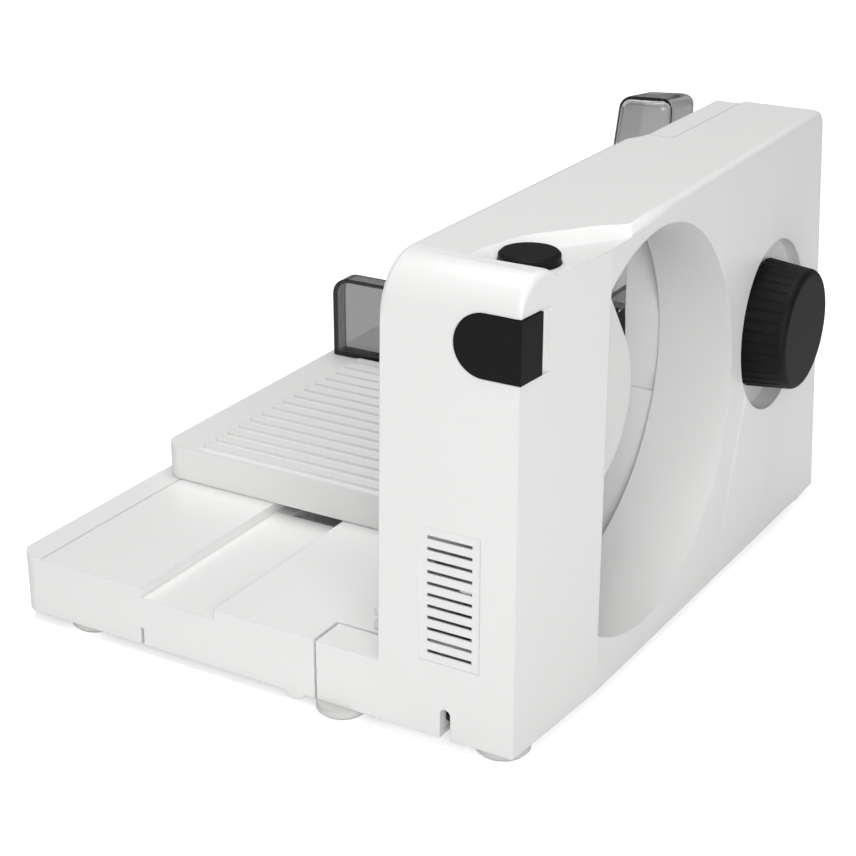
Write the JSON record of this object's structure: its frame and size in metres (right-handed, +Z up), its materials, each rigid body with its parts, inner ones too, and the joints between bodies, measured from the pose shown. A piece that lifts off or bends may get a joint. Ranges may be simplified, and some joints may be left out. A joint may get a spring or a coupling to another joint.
{
  "type": "food slicer",
  "caption": "Folding electric food slicer with a round knife, gear drive, setting knob and stop plate, ribbed sliding carriage, hand guard and food holder on a fold-up table.",
  "frame": {"origin": "on the standing surface, under the middle of the part's box", "axes": "+X along the slab from the motor end to the user's end, +Y from the chute face to the carriage side, +Z up"},
  "size_m": [0.308, 0.265, 0.2013],
  "materials": {
    "glossy_white_abs": "glossy moulded white",
    "matt_black_plastic": "fine matt black",
    "stainless_steel": "ground and polished",
    "zinc_plated_steel": "bright plated steel",
    "white_acetal": "natural white",
    "grey_rubber": "matt grey",
    "black_rubber": "matt black",
    "smoked_clear_plastic": "transparent, smoked",
    "circuit_board_laminate": "green lacquer"
  },
  "bodies": {
    "root": {"housing_shell": "glossy_white_abs", "chute_liner": "glossy_white_abs", "hinge_ears": "glossy_white_abs", "blade_side_cover": "glossy_white_abs", "bottom_cover": "glossy_white_abs", "cord_bush": "black_rubber", "gear_case": "glossy_white_abs", "gear_case_lid": "glossy_white_abs", "blade_axle": "zinc_plated_steel", "idler_axle": "zinc_plated_steel", "motor_can": "zinc_plated_steel", "motor_end_plate": "zinc_plated_steel", "circuit_board": "circuit_board_laminate", "micro_switch": "matt_black_plastic", "start_spring": "zinc_plated_steel", "guide_rods": "zinc_plated_steel", "hinge_pins": "zinc_plated_steel", "base_feet": "grey_rubber", "cover_screws": "zinc_plated_steel", "case_screws": "zinc_plated_steel"},
    "blade_set": {"blade": "stainless_steel", "blade_gear": "matt_black_plastic", "blade_screw": "matt_black_plastic"},
    "idler": {"idler_gear": "white_acetal"},
    "rotor": {"motor_pinion": "zinc_plated_steel", "motor_shaft": "zinc_plated_steel", "cooling_fan": "matt_black_plastic"},
    "start": {"start_button": "matt_black_plastic"},
    "lock": {"lock_button": "matt_black_plastic", "lock_spring": "zinc_plated_steel"},
    "knob": {"setting_knob": "matt_black_plastic", "knob_spindle": "zinc_plated_steel"},
    "stop": {"stop_plate": "glossy_white_abs"},
    "table": {"folding_table": "glossy_white_abs", "table_feet": "grey_rubber"},
    "rail": {"carriage_rail": "glossy_white_abs"},
    "carriage": {"carriage_tray": "glossy_white_abs", "hand_guard": "smoked_clear_plastic"},
    "holder": {"food_holder": "smoked_clear_plastic", "holder_plate": "smoked_clear_plastic"}
  },
  "joints": [
    {"name": "blade_spin", "type": "hinge", "parent": "root", "child": "blade_set", "pos_m": [-0.037, -0.0555, 0.104], "axis": [0, 1, 0], "continuous": true},
    {"name": "idler_spin", "type": "hinge", "parent": "root", "child": "idler", "pos_m": [-0.07424, -0.0745, 0.1255], "axis": [0, 1, 0], "continuous": true},
    {"name": "motor_spin", "type": "hinge", "parent": "root", "child": "rotor", "pos_m": [-0.10959, -0.0885, 0.10902], "axis": [0, 1, 0], "continuous": true},
    {"name": "knob_turn", "type": "hinge", "parent": "root", "child": "knob", "pos_m": [0.095, -0.1125, 0.107], "axis": [0, -1, 0], "range_deg": [0, 186]},
    {"name": "stop_slide", "type": "slide", "parent": "root", "child": "stop", "axis": [0, 1, 0], "range_m": [0, 0.0097]},
    {"name": "table_fold", "type": "hinge", "parent": "root", "child": "table", "pos_m": [0, -0.026, 0.0288], "axis": [1, 0, 0], "range_deg": [0, 90]},
    {"name": "carriage_lift", "type": "slide", "parent": "root", "child": "rail", "axis": [0, 0, 1], "range_m": [0, 0.3]},
    {"name": "carriage_slide", "type": "slide", "parent": "rail", "child": "carriage", "axis": [-1, 0, 0], "range_m": [0, 0.15]},
    {"name": "holder_slide", "type": "slide", "parent": "carriage", "child": "holder", "axis": [0, 1, 0], "range_m": [0, 0.12]},
    {"name": "start_press", "type": "slide", "parent": "root", "child": "start", "axis": [0, 0, -1], "range_m": [0, 0.0025], "stiffness_N_per_m": 800, "springref_m": -0.0005, "deforming": ["start_spring"]},
    {"name": "lock_press", "type": "slide", "parent": "root", "child": "lock", "axis": [1, 0, 0], "range_m": [0, 0.0024], "stiffness_N_per_m": 800, "springref_m": -0.0005}
  ],
  "couplings": [
    {"joint": "idler_spin", "follows": "blade_spin", "ratio": -3.3},
    {"joint": "motor_spin", "follows": "blade_spin", "ratio": 18.15},
    {"joint": "knob_turn", "follows": "stop_slide", "rad_per_m": 333.33},
    {"joint": "carriage_lift", "follows": "table_fold", "m_per_rad": 0.19}
  ]
}
